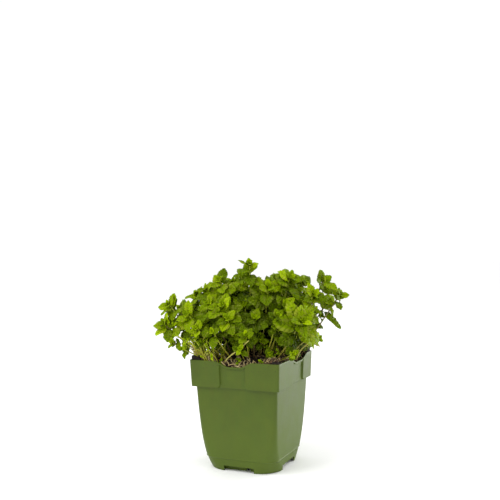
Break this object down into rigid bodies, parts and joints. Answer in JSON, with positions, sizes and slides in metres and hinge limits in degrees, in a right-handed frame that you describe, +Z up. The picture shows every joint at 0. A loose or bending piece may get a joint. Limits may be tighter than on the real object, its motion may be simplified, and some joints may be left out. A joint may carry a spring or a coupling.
{
  "type": "potted mint plant",
  "caption": "Young mint plant with square stems and serrated leaves in opposite pairs, growing from dark soil in a square green plastic nursery pot.",
  "frame": {"origin": "on the ground under the middle of the pot, which is also the middle of the plant's spread", "axes": "+Z up from the pot's feet to the top of the plant; -Y out of the pot's front face, the wider of the two that the picture shows, and +X out of the right one"},
  "size_m": [0.2039, 0.1406, 0.2414],
  "materials": {
    "pot": "satin moulded polypropylene, olive green",
    "soil": "matt, damp and crumbly",
    "shoot": "soft, slightly shiny leaves on pale green stems",
    "dry_stem": "matt, weathered straw"
  },
  "bodies": {
    "root": {"pot": "pot", "potting_soil": "soil", "dry_stalk_1": "dry_stem", "dry_stalk_2": "dry_stem", "dry_stalk_3": "dry_stem", "dry_stalk_4": "dry_stem", "old_runner": "dry_stem", "mint_shoot_01": "shoot", "mint_shoot_02": "shoot", "mint_shoot_03": "shoot", "mint_shoot_04": "shoot", "mint_shoot_05": "shoot", "mint_shoot_06": "shoot", "mint_shoot_07": "shoot", "mint_shoot_08": "shoot", "mint_shoot_09": "shoot", "mint_shoot_10": "shoot", "mint_shoot_11": "shoot", "mint_shoot_12": "shoot", "mint_shoot_13": "shoot", "mint_shoot_14": "shoot", "mint_shoot_15": "shoot", "mint_shoot_16": "shoot", "mint_shoot_17": "shoot", "mint_shoot_18": "shoot", "mint_shoot_19": "shoot", "mint_shoot_20": "shoot", "mint_shoot_21": "shoot", "mint_shoot_22": "shoot", "mint_shoot_23": "shoot", "mint_shoot_24": "shoot", "mint_shoot_25": "shoot", "mint_shoot_26": "shoot", "mint_shoot_27": "shoot", "mint_shoot_28": "shoot", "mint_shoot_29": "shoot", "mint_shoot_30": "shoot", "mint_shoot_31": "shoot", "mint_shoot_32": "shoot", "mint_shoot_33": "shoot", "mint_shoot_34": "shoot", "mint_shoot_35": "shoot", "mint_shoot_36": "shoot", "mint_shoot_37": "shoot", "mint_shoot_38": "shoot", "mint_shoot_39": "shoot", "mint_shoot_40": "shoot", "mint_shoot_41": "shoot", "mint_shoot_42": "shoot", "mint_shoot_43": "shoot", "mint_shoot_44": "shoot", "mint_shoot_45": "shoot", "mint_shoot_46": "shoot", "mint_shoot_47": "shoot", "mint_shoot_48": "shoot", "mint_shoot_49": "shoot", "mint_shoot_50": "shoot", "mint_shoot_51": "shoot"}
  },
  "joints": []
}
